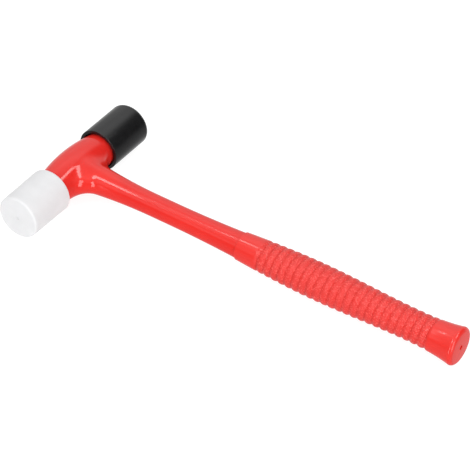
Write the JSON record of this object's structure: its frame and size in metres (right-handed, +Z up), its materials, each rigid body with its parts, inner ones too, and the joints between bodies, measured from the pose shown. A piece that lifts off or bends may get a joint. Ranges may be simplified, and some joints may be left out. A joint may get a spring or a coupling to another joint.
{
  "type": "soft face hammer",
  "caption": "Small soft face hammer: glossy red moulded head and handle with a wound-rib grip, a white nylon face and a black rubber face that screw off.",
  "frame": {"origin": "on the surface the hammer lies on, below the middle of its length and of its head", "axes": "+X along the handle to the butt, +Y along the head to the black face, +Z up"},
  "size_m": [0.25, 0.1006, 0.025],
  "materials": {
    "red_gloss": "glossy red moulding",
    "red_grip": "red vinyl with a fine grain on the ribs, smooth at the collar and butt",
    "white_nylon": "satin white nylon",
    "black_rubber": "smooth black rubber",
    "steel": "turned steel"
  },
  "bodies": {
    "handle": {"handle_body": "red_gloss", "grip_sleeve": "red_grip", "head_bar": "steel", "handle_core": "steel", "core_pin": "steel"},
    "white_stud": {"white_face_stud": "steel"},
    "white_face": {"white_face": "white_nylon"},
    "black_stud": {"black_face_stud": "steel"},
    "black_face": {"black_face": "black_rubber"}
  },
  "joints": [
    {"name": "white_face_travel", "type": "slide", "parent": "handle", "child": "white_stud", "axis": [0, -1, 0], "range_m": [0, 0.01251]},
    {"name": "white_face_turn", "type": "hinge", "parent": "white_stud", "child": "white_face", "pos_m": [-0.1125, 0, 0.0125], "axis": [0, -1, 0], "range_deg": [0, 3600]},
    {"name": "black_face_travel", "type": "slide", "parent": "handle", "child": "black_stud", "axis": [0, 1, 0], "range_m": [0, 0.01251]},
    {"name": "black_face_turn", "type": "hinge", "parent": "black_stud", "child": "black_face", "pos_m": [-0.1125, 0, 0.0125], "axis": [0, 1, 0], "range_deg": [0, 3600]}
  ],
  "couplings": [
    {"joint": "white_face_travel", "follows": "white_face_turn", "m_per_rad": 0.00019894},
    {"joint": "black_face_travel", "follows": "black_face_turn", "m_per_rad": 0.00019894}
  ]
}
